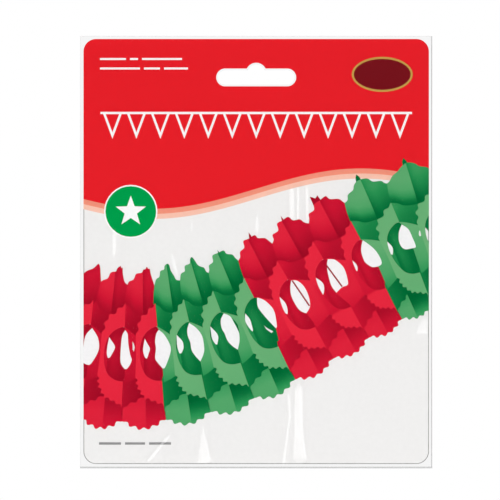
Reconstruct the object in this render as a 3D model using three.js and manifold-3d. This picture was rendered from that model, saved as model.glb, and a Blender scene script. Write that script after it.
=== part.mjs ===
// Hanging shop pack: a clear film bag that holds a printed card and, behind it, a folded tissue garland.
// Millimetres. The front faces -Y, +X is to the right and +Z is up.
// The origin is the top of the hang slot, at mid thickness of the card, where a peg would bear.

import * as THREE from "three";
import { ConvexGeometry } from "three/addons/geometries/ConvexGeometry.js";
import { mergeVertices } from "three/addons/utils/BufferGeometryUtils.js";
import Module from "manifold-3d";

const wasm = await Module();
wasm.setup();

// Card
const CARD_WIDTH = 165;
const CARD_HEIGHT = 203;
const CARD_THICKNESS = 0.5;
const CARD_CORNER_RADIUS = 6;

// Hang slot: a long slot with a small round rise in the middle of its top edge
const SLOT_WIDTH = 38.2;
const SLOT_HEIGHT = 8.5;
const SLOT_RISE = 2.75;
const SLOT_RISE_RADIUS = 5;
const SLOT_DEPTH_ON_CARD = 11.35;
const FILM_SLOT_INSET = 0.8;

// Film bag
const FILM_THICKNESS = 0.2;
const FILM_CLEARANCE = 0.3;
const BAG_SIDE_MARGIN = 1.6;
const BAG_TOP_MARGIN = 1.4;
const BAG_BOTTOM_MARGIN = 2.1;
const WELD_SHARE = 0.4;
const INNER_EDGE_SHARE = 0.3;
const OUTER_EDGE_SHARE = 0.4;
const WELD_HALF_GAP = 0.05;
const BULGE_BELOW_SLOT = 5;
const BULGE_SIDE_INSET = 3;
const BULGE_BOTTOM_INSET = 0.6;
const BULGE_RING_SHARES = [0, 0.14, 0.42, 1];
const BULGE_SAG_SPAN = 60;

// Folded garland: one flat stack of sheets with two oval holes
const GARLAND_FOLD_SPACING = 28;
const GARLAND_TOP = 72;
const GARLAND_BOTTOM = 68;
const GARLAND_SHOULDER = 43;
const GARLAND_HIP = 46;
const GARLAND_THICKNESS = 9;
const GARLAND_OVAL_HALF_WIDTH = 20;
const GARLAND_OVAL_HALF_HEIGHT = 23;
const GARLAND_ABOVE_CARD_FOOT = 2.5;
const GARLAND_PINKS_PER_SIDE = 34;
const GARLAND_PINK_DEPTH = 1.2;

// Right half of a sheet's outline: across in fold spacings, then a share of one of its heights
const SHEET_HALF_OUTLINE = [
  [0, 1, GARLAND_TOP],
  [0.5, 0.92, GARLAND_TOP],
  [0.92, 1.16, GARLAND_SHOULDER],
  [1.08, 1, GARLAND_SHOULDER],
  [1.4, 0.95, GARLAND_SHOULDER],
  [1.8, 0.66, GARLAND_SHOULDER],
  [2, 0.1, GARLAND_SHOULDER],
  [2, -0.45, GARLAND_HIP],
  [1.8, -0.83, GARLAND_HIP],
  [1.3, -1, GARLAND_HIP],
  [1.02, -1.03, GARLAND_HIP],
  [0.75, -0.86, GARLAND_BOTTOM],
  [0.35, -0.97, GARLAND_BOTTOM],
  [0, -1, GARLAND_BOTTOM],
];

// Print: thin fields of ink on the front of the card, with the badge and the pictured garland over them
const INK_THICKNESS = 0.1;
const WAVE_MEAN_DEPTH = 71.5;
const WAVE_HEIGHT = 9.65;
const WAVE_HALF_LENGTH = 99.8;
const WAVE_TROUGH_FROM_LEFT = 32.8;
const STRIPE_WIDTH = 2.4;
const BADGE_FROM_LEFT = 22.6;
const BADGE_DEPTH = 82.4;
const BADGE_RADIUS = 12.1;
const BADGE_RIM_WIDTH = 0.65;
const STAR_POINTS = 5;
const STAR_OUTER_RADIUS = 7.6;
const STAR_INNER_RADIUS = 3.1;

// Plain ornaments on the header: a string of outlined pennants, and an oval emblem
const BUNTING_SIDE_MARGIN = 8.1;
const BUNTING_DEPTH = 34.8;
const BUNTING_LINE = 1.1;
const PENNANT_COUNT = 13;
const PENNANT_WIDTH = 9.6;
const PENNANT_HEIGHT = 12.9;
const EMBLEM_FROM_RIGHT = 22.3;
const EMBLEM_DEPTH = 16.9;
const EMBLEM_HALF_WIDTH = 14.6;
const EMBLEM_HALF_HEIGHT = 8.4;
const EMBLEM_RIM_WIDTH = 1;

// Pictured garland: its rings follow a swag line across the card; places along it are counted in rings
const RINGS_ACROSS_CARD = 9.6;
const SWAG_MID_DEPTH = 122.4;
const SWAG_SLOPE = 0.2;
const SWAG_SWING = 0.35;
const SWAG_STEEPEST_RINGS = 6.72;
const SWAG_LENGTH_RINGS = 14.755;
const FIRST_JOIN_RINGS = 2.07;
const RINGS_PER_COLOUR = 3;
const COLOUR_SECTIONS = [0, 1, 2, 3];
const PETAL_TOP = 42.5;
const PETAL_NECK = 33;
const PETAL_FOOT = 34;
const FOOT_NOTCH = 31.5;
const PETAL_FULLNESS = 2.4;
const PINKS_PER_RING = 7;
const PINK_DEPTH = 0.6;
const RISE_FROM_RING = 1;
const FOOT_RISE_PER_RING = 0.72;
const WINDOW_RISE_PER_RING = 0.35;
const SMALL_WINDOW = { ringsFromJoin: -0.384, up: 2.2, halfWidthRings: 0.087, halfHeight: 4 };
const LARGE_WINDOW = { ringsFromJoin: 0.058, up: 4.3, halfWidthRings: 0.198, halfHeight: 9 };

// Fineness of curves
const ARC_STEPS = 16;
const WAVE_STEPS = 48;
const STEPS_PER_PINK = 4;

// Levels front to back, with the card's mid thickness at zero
const CARD_BACK = CARD_THICKNESS / 2;
const CARD_FRONT = -CARD_BACK;
const INK_FRONT = CARD_FRONT - INK_THICKNESS;
const OVERPRINT_FRONT = INK_FRONT - INK_THICKNESS;
const FILM_FRONT_INSIDE = OVERPRINT_FRONT - FILM_CLEARANCE;
const FILM_FLAT_INSIDE = CARD_BACK + FILM_CLEARANCE;
const GARLAND_FRONT = FILM_FLAT_INSIDE;
const GARLAND_BACK = GARLAND_FRONT + GARLAND_THICKNESS;
const FILM_BULGE_INSIDE = GARLAND_BACK + FILM_CLEARANCE;

// Places on the upright pack
const CARD_HALF_WIDTH = CARD_WIDTH / 2;
const CARD_TOP_Z = SLOT_DEPTH_ON_CARD;
const CARD_FOOT_Z = CARD_TOP_Z - CARD_HEIGHT;
const WAVE_TROUGH_X = WAVE_TROUGH_FROM_LEFT - CARD_HALF_WIDTH;
const BADGE_X = BADGE_FROM_LEFT - CARD_HALF_WIDTH;
const BADGE_Z = CARD_TOP_Z - BADGE_DEPTH;
const BUNTING_X = BUNTING_SIDE_MARGIN - CARD_HALF_WIDTH;
const BUNTING_LENGTH = CARD_WIDTH - 2 * BUNTING_SIDE_MARGIN;
const BUNTING_Z = CARD_TOP_Z - BUNTING_DEPTH;
const EMBLEM_X = CARD_HALF_WIDTH - EMBLEM_FROM_RIGHT;
const EMBLEM_Z = CARD_TOP_Z - EMBLEM_DEPTH;
const RING_SPACING = CARD_WIDTH / RINGS_ACROSS_CARD;
const SWAG_STEEPEST_X = SWAG_STEEPEST_RINGS * RING_SPACING - CARD_HALF_WIDTH;
const SWAG_LENGTH = SWAG_LENGTH_RINGS * RING_SPACING;
const SWAG_MID_Z = CARD_TOP_Z - SWAG_MID_DEPTH;
const FIRST_JOIN_X = FIRST_JOIN_RINGS * RING_SPACING - CARD_HALF_WIDTH;
const SLOT_FOOT_Z = -SLOT_RISE - SLOT_HEIGHT;
const GARLAND_HALF_WIDTH = 2 * GARLAND_FOLD_SPACING;
const GARLAND_FOOT_Z = CARD_FOOT_Z + GARLAND_ABOVE_CARD_FOOT;
const GARLAND_CENTRE_Z = GARLAND_FOOT_Z + GARLAND_BOTTOM;

// How far a cutting solid runs past what it cuts
const PAST = 5;
const THROUGH_FRONT = FILM_FRONT_INSIDE - PAST;
const THROUGH_BACK = FILM_BULGE_INSIDE + PAST;

// Solids

// A three.js geometry as a solid that can be joined and cut.
function solidOf(geometry) {
  const bare = new THREE.BufferGeometry();
  const flat = geometry.index ? geometry.toNonIndexed() : geometry;
  bare.setAttribute("position", flat.getAttribute("position"));
  const welded = mergeVertices(bare, 1e-5);
  return new wasm.Manifold(
    new wasm.Mesh({
      numProp: 3,
      vertProperties: welded.attributes.position.array,
      triVerts: new Uint32Array(welded.index.array),
    }),
  );
}

// A solid as a named mesh with its own material.
function meshOf(name, solid, look) {
  const made = solid.getMesh();
  const geometry = new THREE.BufferGeometry();
  geometry.setAttribute("position", new THREE.BufferAttribute(made.vertProperties, made.numProp));
  geometry.setIndex(new THREE.BufferAttribute(made.triVerts, 1));
  const shaded = geometry.toNonIndexed();
  shaded.computeVertexNormals();
  const mesh = new THREE.Mesh(shaded, new THREE.MeshStandardMaterial(look));
  mesh.name = name;
  return mesh;
}

// An upright plate: a shape drawn in X and Z that runs back from one level to another.
function plate(shape, front, back) {
  const geometry = new THREE.ExtrudeGeometry(shape, {
    depth: back - front,
    bevelEnabled: false,
    curveSegments: ARC_STEPS,
  });
  const places = geometry.getAttribute("position");
  for (let i = 0; i < places.count; i += 1) {
    places.setXYZ(i, places.getX(i), back - places.getZ(i), places.getY(i));
  }
  return solidOf(geometry);
}

// The four corners of an upright rectangle at one level.
function corners(box, level) {
  return [
    new THREE.Vector3(box.left, level, box.foot),
    new THREE.Vector3(box.right, level, box.foot),
    new THREE.Vector3(box.right, level, box.top),
    new THREE.Vector3(box.left, level, box.top),
  ];
}

// Shapes

function cardShape() {
  const shape = new THREE.Shape();
  const r = CARD_CORNER_RADIUS;
  const right = CARD_HALF_WIDTH - r;
  const top = CARD_TOP_Z - r;
  const foot = CARD_FOOT_Z + r;
  shape.absarc(right, top, r, 0, Math.PI / 2, false);
  shape.absarc(-right, top, r, Math.PI / 2, Math.PI, false);
  shape.absarc(-right, foot, r, Math.PI, 1.5 * Math.PI, false);
  shape.absarc(right, foot, r, 1.5 * Math.PI, 2 * Math.PI, false);
  shape.closePath();
  return shape;
}

// The hang slot, made smaller all round by the inset.
function slotShape(inset) {
  const endRadius = SLOT_HEIGHT / 2 - inset;
  const endX = SLOT_WIDTH / 2 - SLOT_HEIGHT / 2;
  const middleZ = -SLOT_RISE - SLOT_HEIGHT / 2;
  const riseRadius = SLOT_RISE_RADIUS - inset;
  const riseStart = Math.asin((middleZ + endRadius + SLOT_RISE_RADIUS) / riseRadius);
  const shape = new THREE.Shape();
  shape.absarc(endX, middleZ, endRadius, -Math.PI / 2, Math.PI / 2, false);
  shape.absarc(0, -SLOT_RISE_RADIUS, riseRadius, riseStart, Math.PI - riseStart, false);
  shape.absarc(-endX, middleZ, endRadius, Math.PI / 2, 1.5 * Math.PI, false);
  shape.closePath();
  return shape;
}

function ovalShape(x, z, halfWidth, halfHeight, turn) {
  const shape = new THREE.Shape();
  shape.absellipse(x, z, halfWidth, halfHeight, 0, 2 * Math.PI, false, turn);
  return shape;
}

// The bite of a pinked edge, where whole numbers of pinks are the points between bites.
function pinkBite(pinks, depth) {
  return depth * Math.abs(Math.sin(Math.PI * pinks));
}

// The outline of the garland's sheets, grown by the room; with one step per pink it runs from tip to tip.
function sheetOutline(stepsPerPink, room) {
  const half = SHEET_HALF_OUTLINE.map(
    ([across, up, lobe]) => new THREE.Vector2(across * GARLAND_FOLD_SPACING, up * lobe),
  );
  const rightSide = new THREE.SplineCurve(half);
  const steps = GARLAND_PINKS_PER_SIDE * stepsPerPink;
  const right = [];
  for (let i = 0; i <= steps; i += 1) {
    const point = rightSide.getPointAt(i / steps);
    const tangent = rightSide.getTangentAt(i / steps);
    const inward = pinkBite(i / stepsPerPink, GARLAND_PINK_DEPTH) - room;
    const x = Math.min(point.x, GARLAND_HALF_WIDTH) + inward * tangent.y;
    const z = point.y - inward * tangent.x;
    right.push(new THREE.Vector2(x, z + GARLAND_CENTRE_Z));
  }
  const left = right.slice(1, -1).map((p) => new THREE.Vector2(-p.x, p.y));
  return [...right, ...left.reverse()].reverse();
}

// One sheet of the folded garland: a tall middle lobe, two side lobes and an oval hole on each outer fold.
function sheetShape() {
  const shape = new THREE.Shape(sheetOutline(STEPS_PER_PINK, 0));
  for (const side of [-1, 1]) {
    const x = side * GARLAND_FOLD_SPACING;
    shape.holes.push(ovalShape(x, GARLAND_CENTRE_Z, GARLAND_OVAL_HALF_WIDTH, GARLAND_OVAL_HALF_HEIGHT, 0));
  }
  return shape;
}

// The part of the print plane above the wave, lowered by the drop.
function aboveWave(drop) {
  const reach = CARD_HALF_WIDTH + PAST;
  const points = [];
  for (let i = 0; i <= WAVE_STEPS; i += 1) {
    const x = -reach + (2 * reach * i) / WAVE_STEPS;
    const swing = Math.cos((Math.PI * (x - WAVE_TROUGH_X)) / WAVE_HALF_LENGTH);
    points.push(new THREE.Vector2(x, CARD_TOP_Z - WAVE_MEAN_DEPTH - drop - WAVE_HEIGHT * swing));
  }
  points.push(new THREE.Vector2(reach, CARD_TOP_Z + PAST));
  points.push(new THREE.Vector2(-reach, CARD_TOP_Z + PAST));
  return new THREE.Shape(points);
}

function starShape(x, z) {
  const points = [];
  for (let i = 0; i < 2 * STAR_POINTS; i += 1) {
    const radius = i % 2 === 0 ? STAR_OUTER_RADIUS : STAR_INNER_RADIUS;
    const angle = Math.PI / 2 + (i * Math.PI) / STAR_POINTS;
    points.push(new THREE.Vector2(x + radius * Math.cos(angle), z + radius * Math.sin(angle)));
  }
  return new THREE.Shape(points);
}

// The bunting's string: a straight line across the header.
function stringShape() {
  const right = BUNTING_X + BUNTING_LENGTH;
  const foot = BUNTING_Z - BUNTING_LINE;
  return new THREE.Shape([
    new THREE.Vector2(BUNTING_X, foot),
    new THREE.Vector2(right, foot),
    new THREE.Vector2(right, BUNTING_Z),
    new THREE.Vector2(BUNTING_X, BUNTING_Z),
  ]);
}

// One outlined pennant: its hole is the triangle drawn in towards the centre of its inner circle.
function pennantShape(index) {
  const x = BUNTING_X + ((index + 0.5) / PENNANT_COUNT) * BUNTING_LENGTH;
  const half = PENNANT_WIDTH / 2;
  const side = Math.hypot(half, PENNANT_HEIGHT);
  const inner = (PENNANT_WIDTH * PENNANT_HEIGHT) / (PENNANT_WIDTH + 2 * side);
  const triangle = (share) => [
    new THREE.Vector2(x - half * share, BUNTING_Z - inner * (1 - share)),
    new THREE.Vector2(x, BUNTING_Z - inner - (PENNANT_HEIGHT - inner) * share),
    new THREE.Vector2(x + half * share, BUNTING_Z - inner * (1 - share)),
  ];
  const shape = new THREE.Shape(triangle(1));
  shape.holes.push(new THREE.Path(triangle(1 - BUNTING_LINE / inner)));
  return shape;
}

// A point of the pictured garland: along the swag line at x, then across it by the height.
function swagPoint(x, height) {
  const phase = (2 * Math.PI * (x - SWAG_STEEPEST_X)) / SWAG_LENGTH;
  const slope = SWAG_SLOPE + SWAG_SWING * Math.cos(phase);
  const swing = (SWAG_SWING * SWAG_LENGTH * Math.sin(phase)) / (2 * Math.PI);
  const rise = SWAG_SLOPE * (x - SWAG_STEEPEST_X) + swing;
  const angle = Math.atan(slope);
  return {
    x: x - height * Math.sin(angle),
    z: SWAG_MID_Z + rise + height * Math.cos(angle),
    angle,
  };
}

// One colour of the pictured garland: petals above, wide scallops below, cut straight at the joins.
function sectionShape(index) {
  const stepsPerRing = PINKS_PER_RING * STEPS_PER_PINK;
  const start = FIRST_JOIN_X + (index - 1) * RINGS_PER_COLOUR * RING_SPACING;
  const above = [];
  const below = [];
  for (let i = 0; i <= RINGS_PER_COLOUR * stepsPerRing; i += 1) {
    const x = start + (i / stepsPerRing) * RING_SPACING;
    const turn = Math.abs(2 * ((i % stepsPerRing) / stepsPerRing) - 1);
    const fullness = 1 - turn ** PETAL_FULLNESS;
    const bite = pinkBite(i / STEPS_PER_PINK, PINK_DEPTH);
    const lift = FOOT_RISE_PER_RING * ((x - FIRST_JOIN_X) / RING_SPACING - RISE_FROM_RING);
    const top = swagPoint(x, PETAL_NECK + (PETAL_TOP - PETAL_NECK) * fullness - bite);
    const foot = swagPoint(x, lift - FOOT_NOTCH - (PETAL_FOOT - FOOT_NOTCH) * fullness + bite);
    above.push(new THREE.Vector2(top.x, top.z));
    below.push(new THREE.Vector2(foot.x, foot.z));
  }
  return new THREE.Shape([...below, ...above.reverse()]);
}

// The see-through windows of one ring of the pictured garland.
function windowShapes(ring) {
  const x = FIRST_JOIN_X + ring * RING_SPACING;
  const lift = WINDOW_RISE_PER_RING * (ring - RISE_FROM_RING);
  return [SMALL_WINDOW, LARGE_WINDOW].map((window) => {
    const centre = swagPoint(x + window.ringsFromJoin * RING_SPACING, window.up + lift);
    const halfWidth = window.halfWidthRings * RING_SPACING;
    return ovalShape(centre.x, centre.z, halfWidth, window.halfHeight, centre.angle);
  });
}

// Film bag

// The bag's outline and the card's outline, grown towards it by a share of each margin.
function bagBox(share) {
  return {
    left: -CARD_HALF_WIDTH - share * BAG_SIDE_MARGIN,
    right: CARD_HALF_WIDTH + share * BAG_SIDE_MARGIN,
    top: CARD_TOP_Z + share * BAG_TOP_MARGIN,
    foot: CARD_FOOT_Z - share * BAG_BOTTOM_MARGIN,
  };
}

// The foot of the bulge on the bag's flat back, grown by the skin: as many points as the garland has tips,
// each in line with its tip from the garland's centre, and the nearest ones moved to the four corners.
function bulgeFoot(skin) {
  const side = CARD_HALF_WIDTH - BULGE_SIDE_INSET + skin;
  const top = SLOT_FOOT_Z - BULGE_BELOW_SLOT + skin;
  const foot = CARD_FOOT_Z + BULGE_BOTTOM_INSET - skin;
  const points = sheetOutline(1, 0).map((tip) => {
    const up = tip.y - GARLAND_CENTRE_Z;
    const room = (up > 0 ? top : foot) - GARLAND_CENTRE_Z;
    const reach = Math.min(side / Math.abs(tip.x), room / up);
    return new THREE.Vector2(tip.x * reach, GARLAND_CENTRE_Z + up * reach);
  });
  for (const [x, z] of [[-side, foot], [side, foot], [side, top], [-side, top]]) {
    const corner = new THREE.Vector2(x, z);
    const away = points.map((point) => point.distanceTo(corner));
    points[away.indexOf(Math.min(...away))] = corner;
  }
  return points;
}

// The bulge: the film lies on the garland and runs from its tips to the foot, with more sag on a longer way.
function bulgeGeometry(skin) {
  const tips = sheetOutline(1, FILM_CLEARANCE + skin);
  const foot = bulgeFoot(skin);
  const flat = FILM_FLAT_INSIDE + skin;
  const rise = FILM_BULGE_INSIDE - FILM_FLAT_INSIDE;
  const rings = BULGE_RING_SHARES.map((share) =>
    tips.map((tip, i) => {
      const place = tip.clone().lerp(foot[i], share);
      const sag = 1 + tip.distanceTo(foot[i]) / BULGE_SAG_SPAN;
      return new THREE.Vector3(place.x, flat + rise * (1 - share) ** sag, place.y);
    }),
  );
  rings.push(foot.map((place) => new THREE.Vector3(place.x, 0, place.y)));
  const back = new THREE.Vector3(0, flat + rise, GARLAND_CENTRE_Z);
  const front = new THREE.Vector3(0, 0, GARLAND_CENTRE_Z);
  const last = rings.length - 1;
  const triangles = [];
  for (let i = 0; i < tips.length; i += 1) {
    const next = (i + 1) % tips.length;
    triangles.push(back, rings[0][next], rings[0][i]);
    triangles.push(front, rings[last][i], rings[last][next]);
    for (let ring = 0; ring < last; ring += 1) {
      const upper = rings[ring];
      const lower = rings[ring + 1];
      triangles.push(upper[i], upper[next], lower[i]);
      triangles.push(lower[i], upper[next], lower[next]);
    }
  }
  return new THREE.BufferGeometry().setFromPoints(triangles);
}

// The space within the film, or with the film's own thickness as skin, the space it fills.
function bagSpace(skin) {
  const rim = bagBox(skin > 0 ? 1 : 1 - WELD_SHARE);
  const face = bagBox(skin > 0 ? OUTER_EDGE_SHARE : INNER_EDGE_SHARE);
  const rimHalf = WELD_HALF_GAP + skin;
  const flat = new ConvexGeometry([
    ...corners(face, FILM_FRONT_INSIDE - skin),
    ...corners(rim, -rimHalf),
    ...corners(rim, rimHalf),
    ...corners(face, FILM_FLAT_INSIDE + skin),
  ]);
  return solidOf(flat).add(solidOf(bulgeGeometry(skin)));
}

const filmSlot = plate(slotShape(FILM_SLOT_INSET), THROUGH_FRONT, THROUGH_BACK);
const film = bagSpace(FILM_THICKNESS).subtract(bagSpace(0)).subtract(filmSlot);

// Card, garland and print

const cardSlot = plate(slotShape(0), THROUGH_FRONT, THROUGH_BACK);
const card = plate(cardShape(), CARD_FRONT, CARD_BACK).subtract(cardSlot);
const garland = plate(sheetShape(), GARLAND_FRONT, GARLAND_BACK);

// A field of ink on the card or over the first ink, kept inside the card's edge.
function inkField(shape, front, back) {
  const area = plate(cardShape(), front, back).subtract(cardSlot);
  return area.intersect(plate(shape, front - PAST, back + PAST));
}

function ink(shape) {
  return inkField(shape, INK_FRONT, CARD_FRONT);
}

function overprint(shape) {
  return inkField(shape, OVERPRINT_FRONT, INK_FRONT);
}

const headerArea = ink(aboveWave(0));
const upperStripeArea = ink(aboveWave(STRIPE_WIDTH));
const lowerStripeArea = ink(aboveWave(2 * STRIPE_WIDTH));
const upperStripe = upperStripeArea.subtract(headerArea);
const lowerStripe = lowerStripeArea.subtract(upperStripeArea);

const badgeRimRadius = BADGE_RADIUS + BADGE_RIM_WIDTH;
const badgeArea = overprint(ovalShape(BADGE_X, BADGE_Z, badgeRimRadius, badgeRimRadius, 0));
const discArea = overprint(ovalShape(BADGE_X, BADGE_Z, BADGE_RADIUS, BADGE_RADIUS, 0));
const badgeRim = badgeArea.subtract(discArea);
const badgeStar = overprint(starShape(BADGE_X, BADGE_Z));
const badgeDisc = discArea.subtract(badgeStar);

let bunting = overprint(stringShape());
for (let i = 0; i < PENNANT_COUNT; i += 1) {
  bunting = bunting.add(overprint(pennantShape(i)));
}

const fieldHalfWidth = EMBLEM_HALF_WIDTH - EMBLEM_RIM_WIDTH;
const fieldHalfHeight = EMBLEM_HALF_HEIGHT - EMBLEM_RIM_WIDTH;
const emblemArea = overprint(ovalShape(EMBLEM_X, EMBLEM_Z, EMBLEM_HALF_WIDTH, EMBLEM_HALF_HEIGHT, 0));
const emblemField = overprint(ovalShape(EMBLEM_X, EMBLEM_Z, fieldHalfWidth, fieldHalfHeight, 0));
const emblemRim = emblemArea.subtract(emblemField);

const sections = COLOUR_SECTIONS.map((index) => {
  let section = overprint(sectionShape(index));
  const firstRing = (index - 1) * RINGS_PER_COLOUR;
  for (let ring = firstRing; ring <= firstRing + RINGS_PER_COLOUR; ring += 1) {
    for (const shape of windowShapes(ring)) {
      section = section.subtract(plate(shape, THROUGH_FRONT, THROUGH_BACK));
    }
  }
  return section;
});

// Looks

const FILM_LOOK = { color: "#f2f5f7", roughness: 0.1, transparent: true, opacity: 0.25 };
const CARD_LOOK = { color: "#f1f0ee", roughness: 0.5 };
const RED_INK = { color: "#e41f28", roughness: 0.45 };
const SALMON_INK = { color: "#f39680", roughness: 0.45 };
const BLUSH_INK = { color: "#fac6b2", roughness: 0.45 };
const GREEN_INK = { color: "#00a04e", roughness: 0.45 };
const WHITE_INK = { color: "#fafafa", roughness: 0.45 };
const GOLD_INK = { color: "#c49e4c", roughness: 0.45 };
const MAROON_INK = { color: "#78161e", roughness: 0.45 };
const RED_PICTURE = { color: "#d81f3a", roughness: 0.45 };
const GREEN_PICTURE = { color: "#2f9158", roughness: 0.45 };
const TISSUE_LOOK = { color: "#c92740", roughness: 0.9 };

const print = new THREE.Group();
print.add(meshOf("header_print", headerArea, RED_INK));
print.add(meshOf("upper_stripe_print", upperStripe, SALMON_INK));
print.add(meshOf("lower_stripe_print", lowerStripe, BLUSH_INK));
print.add(meshOf("badge_rim_print", badgeRim, WHITE_INK));
print.add(meshOf("badge_disc_print", badgeDisc, GREEN_INK));
print.add(meshOf("badge_star_print", badgeStar, { ...WHITE_INK }));
print.add(meshOf("bunting_print", bunting, { ...WHITE_INK }));
print.add(meshOf("emblem_rim_print", emblemRim, GOLD_INK));
print.add(meshOf("emblem_field_print", emblemField, MAROON_INK));
sections.forEach((section, index) => {
  const look = index % 2 === 0 ? RED_PICTURE : GREEN_PICTURE;
  print.add(meshOf(`garland_print_${index + 1}`, section, { ...look }));
});

const group = new THREE.Group();
group.add(meshOf("film_bag", film, FILM_LOOK));
group.add(meshOf("printed_card", card, CARD_LOOK));
group.add(meshOf("folded_garland", garland, TISSUE_LOOK));
group.add(print);

export default group;
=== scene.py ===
"""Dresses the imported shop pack: clear film, printed card, pictured garland and the folded garland behind."""
import math
import random

import bmesh
import bpy
import numpy as np
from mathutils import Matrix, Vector
from mathutils.bvhtree import BVHTree
from mathutils.geometry import delaunay_2d_cdt


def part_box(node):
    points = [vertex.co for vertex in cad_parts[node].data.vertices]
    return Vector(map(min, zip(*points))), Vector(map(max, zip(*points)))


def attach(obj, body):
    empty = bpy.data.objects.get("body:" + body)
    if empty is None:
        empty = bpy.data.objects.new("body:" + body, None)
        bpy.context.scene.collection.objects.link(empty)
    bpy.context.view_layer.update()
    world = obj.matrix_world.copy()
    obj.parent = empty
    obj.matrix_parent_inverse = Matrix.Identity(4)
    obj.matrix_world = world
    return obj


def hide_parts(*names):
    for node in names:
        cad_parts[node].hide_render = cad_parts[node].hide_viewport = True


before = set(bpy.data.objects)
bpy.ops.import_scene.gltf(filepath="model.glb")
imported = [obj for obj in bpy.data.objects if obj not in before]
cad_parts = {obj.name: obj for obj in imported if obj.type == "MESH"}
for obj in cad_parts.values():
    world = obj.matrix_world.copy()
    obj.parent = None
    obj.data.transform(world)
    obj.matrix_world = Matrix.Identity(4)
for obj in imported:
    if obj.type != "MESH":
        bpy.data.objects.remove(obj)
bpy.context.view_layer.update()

MM = 0.001
BODY = "root"

# The CAD pieces, in millimetres
CARD_LOW, CARD_HIGH = (np.array(corner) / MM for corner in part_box("printed_card"))
FILM_LOW, FILM_HIGH = (np.array(corner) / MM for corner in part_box("film_bag"))
GARLAND_LOW, GARLAND_HIGH = (np.array(corner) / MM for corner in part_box("folded_garland"))
INK_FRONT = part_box("header_print")[0].y / MM
OVERPRINT_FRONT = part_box("badge_disc_print")[0].y / MM
CARD_LEFT, CARD_FRONT, CARD_FOOT = CARD_LOW
CARD_RIGHT, CARD_BACK, CARD_TOP = CARD_HIGH

# The photograph: its scale, and where the card's top left corner is in it
PHOTO_PIXELS = 500
MM_PER_PIXEL = 0.4777
CARD_LEFT_PIXEL = 83.5
CARD_TOP_PIXEL = 39

# Card and hang slot, as in the part's source
CARD_CORNER_RADIUS = 6
SLOT_WIDTH = 38.2
SLOT_HEIGHT = 8.5
SLOT_RISE = 2.75
SLOT_RISE_RADIUS = 5
FILM_SLOT_INSET = 0.8

# One sheet of the garland, as in the part's source
FOLD = 28
SHEET_TOP = 72
SHEET_BOTTOM = 68
SHEET_SHOULDER = 43
SHEET_HIP = 46
OVAL_HALF_WIDTH = 20
OVAL_HALF_HEIGHT = 23
PINKS_PER_SIDE = 34
PINK_DEPTH = 1.2
STEPS_PER_PINK = 4
SHEET_HALF_OUTLINE = (
    (0, 1, SHEET_TOP), (0.5, 0.92, SHEET_TOP), (0.92, 1.16, SHEET_SHOULDER),
    (1.08, 1, SHEET_SHOULDER), (1.4, 0.95, SHEET_SHOULDER), (1.8, 0.66, SHEET_SHOULDER),
    (2, 0.1, SHEET_SHOULDER), (2, -0.45, SHEET_HIP), (1.8, -0.83, SHEET_HIP), (1.3, -1, SHEET_HIP),
    (1.02, -1.03, SHEET_HIP), (0.75, -0.86, SHEET_BOTTOM), (0.35, -0.97, SHEET_BOTTOM),
    (0, -1, SHEET_BOTTOM),
)

# The pictured garland: a swag line across the card, as in the part's source
RING_SPACING = (CARD_RIGHT - CARD_LEFT) / 9.6
SWAG_MID = CARD_TOP - 122.4
SWAG_STEEPEST = CARD_LEFT + 6.72 * RING_SPACING
SWAG_SLOPE = 0.2
SWAG_SWING = 0.35
SWAG_LENGTH = 14.755 * RING_SPACING
FIRST_JOIN = CARD_LEFT + 2.07 * RING_SPACING
RINGS_PER_COLOUR = 3
LAST_RED_RING = 2 * RINGS_PER_COLOUR - 1

# Light that the film mirrors evenly
FILM_HAZE = 0.001


def linear(red, green, blue):
    """A colour written as it shows on screen, 0 to 255, as linear light."""
    shares = (value / 255 for value in (red, green, blue))
    return tuple(s / 12.92 if s <= 0.04045 else ((s + 0.055) / 1.055) ** 2.4 for s in shares)


def under_film(red, green, blue):
    """An ink that shows as this colour through the film, whose gloss adds a little white."""
    return tuple(max(0, share - FILM_HAZE) for share in linear(red, green, blue))


def at_pixel(column, row):
    """The place on the card, in millimetres, of a point of the photograph."""
    x = CARD_LEFT + (column - CARD_LEFT_PIXEL) * MM_PER_PIXEL
    z = CARD_TOP - (row - CARD_TOP_PIXEL) * MM_PER_PIXEL
    return x, z


# Meshes


def add_object(name, data):
    made = bpy.data.objects.new(name, data)
    bpy.context.scene.collection.objects.link(made)
    return made


def add_piece(name, points, faces, looks, replaced=(), smooth=False):
    """Adds a mesh, given in millimetres, as a piece of the pack."""
    mesh = bpy.data.meshes.new(name)
    mesh.from_pydata((np.asarray(points, float) * MM).tolist(), [], faces)
    for look in looks:
        mesh.materials.append(look)
    mesh.polygons.foreach_set("use_smooth", [smooth] * len(mesh.polygons))
    mesh.update()
    piece = add_object(name, mesh)
    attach(piece, BODY)
    if replaced:
        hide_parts(*replaced)
    return piece


def flat_fill(loops, inner=()):
    """Fills an outline and its holes with triangles, through the inner points: points and faces."""
    points = [Vector(p) for loop in loops for p in loop] + [Vector(p) for p in inner]
    edges = []
    start = 0
    for loop in loops:
        count = len(loop)
        edges += [(start + i, start + (i + 1) % count) for i in range(count)]
        start += count
    made = delaunay_2d_cdt(points, edges, [], 1, 1e-6)
    flat = np.array([tuple(p) for p in made[0]])
    corners = flat[np.array(made[2])]
    filled = inside(loops[0], corners.mean(axis=1))
    for hole in loops[1:]:
        filled &= ~inside(hole, corners.mean(axis=1))
    first, second = corners[:, 1] - corners[:, 0], corners[:, 2] - corners[:, 0]
    turns_left = first[:, 0] * second[:, 1] > first[:, 1] * second[:, 0]
    faces = [
        tuple(face) if left else tuple(reversed(face))
        for face, left, kept in zip(made[2], turns_left, filled) if kept
    ]
    return flat, faces


def open_sides(faces):
    """The sides of the faces that no other face shares."""
    sides = [(a, b) for face in faces for a, b in zip(face, face[1:] + face[:1])]
    known = set(sides)
    return [(a, b) for a, b in sides if (b, a) not in known]


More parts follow.
